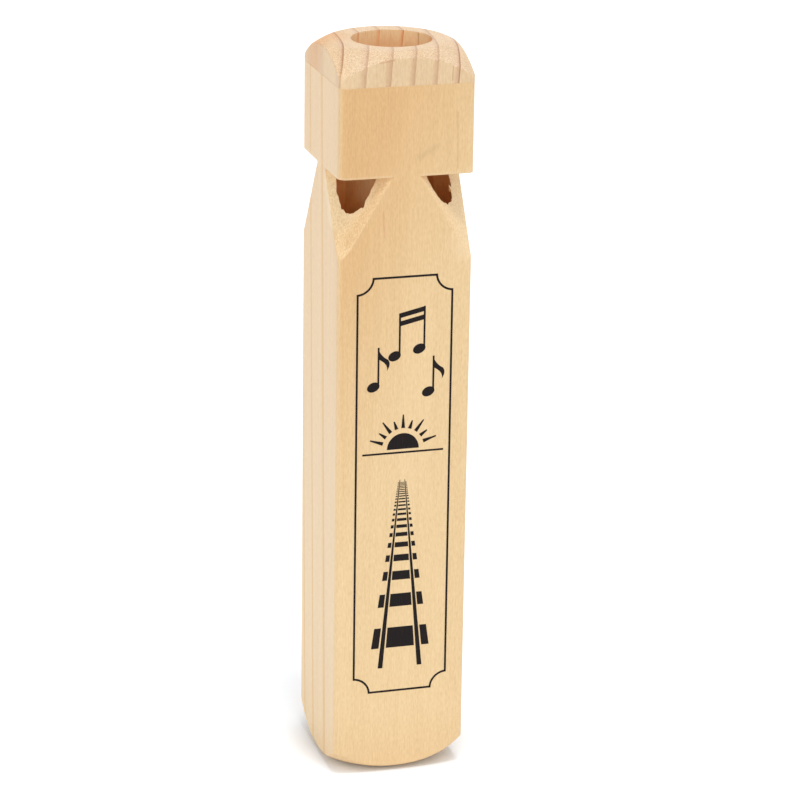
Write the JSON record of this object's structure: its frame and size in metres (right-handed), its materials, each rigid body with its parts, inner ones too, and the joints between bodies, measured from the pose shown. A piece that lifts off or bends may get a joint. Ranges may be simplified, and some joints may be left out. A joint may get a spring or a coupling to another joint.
{
  "type": "train whistle",
  "caption": "Square wooden whistle with a domed, bored mouthpiece cap, wedge-cut windows on its long edges and plugged blind chambers that sound a chord when it is blown.",
  "frame": {"origin": "centre of the flat foot, which lies on Z = 0", "axes": "+Z along the whistle from the foot to the mouth hole, -Y out of the decorated front face, +X to the right of that face"},
  "size_m": [0.0356, 0.0356, 0.196],
  "materials": {
    "block_wood": "sanded pine, thin satin lacquer",
    "cap_wood": "turned pine, end grain showing, thin satin lacquer",
    "plug_wood": "bare softwood dowel"
  },
  "bodies": {
    "root": {"body_block": "block_wood", "mouthpiece_cap": "cap_wood", "fipple_plug_front_left": "plug_wood", "fipple_plug_front_right": "plug_wood", "fipple_plug_rear_right": "plug_wood", "fipple_plug_rear_left": "plug_wood"}
  },
  "joints": []
}
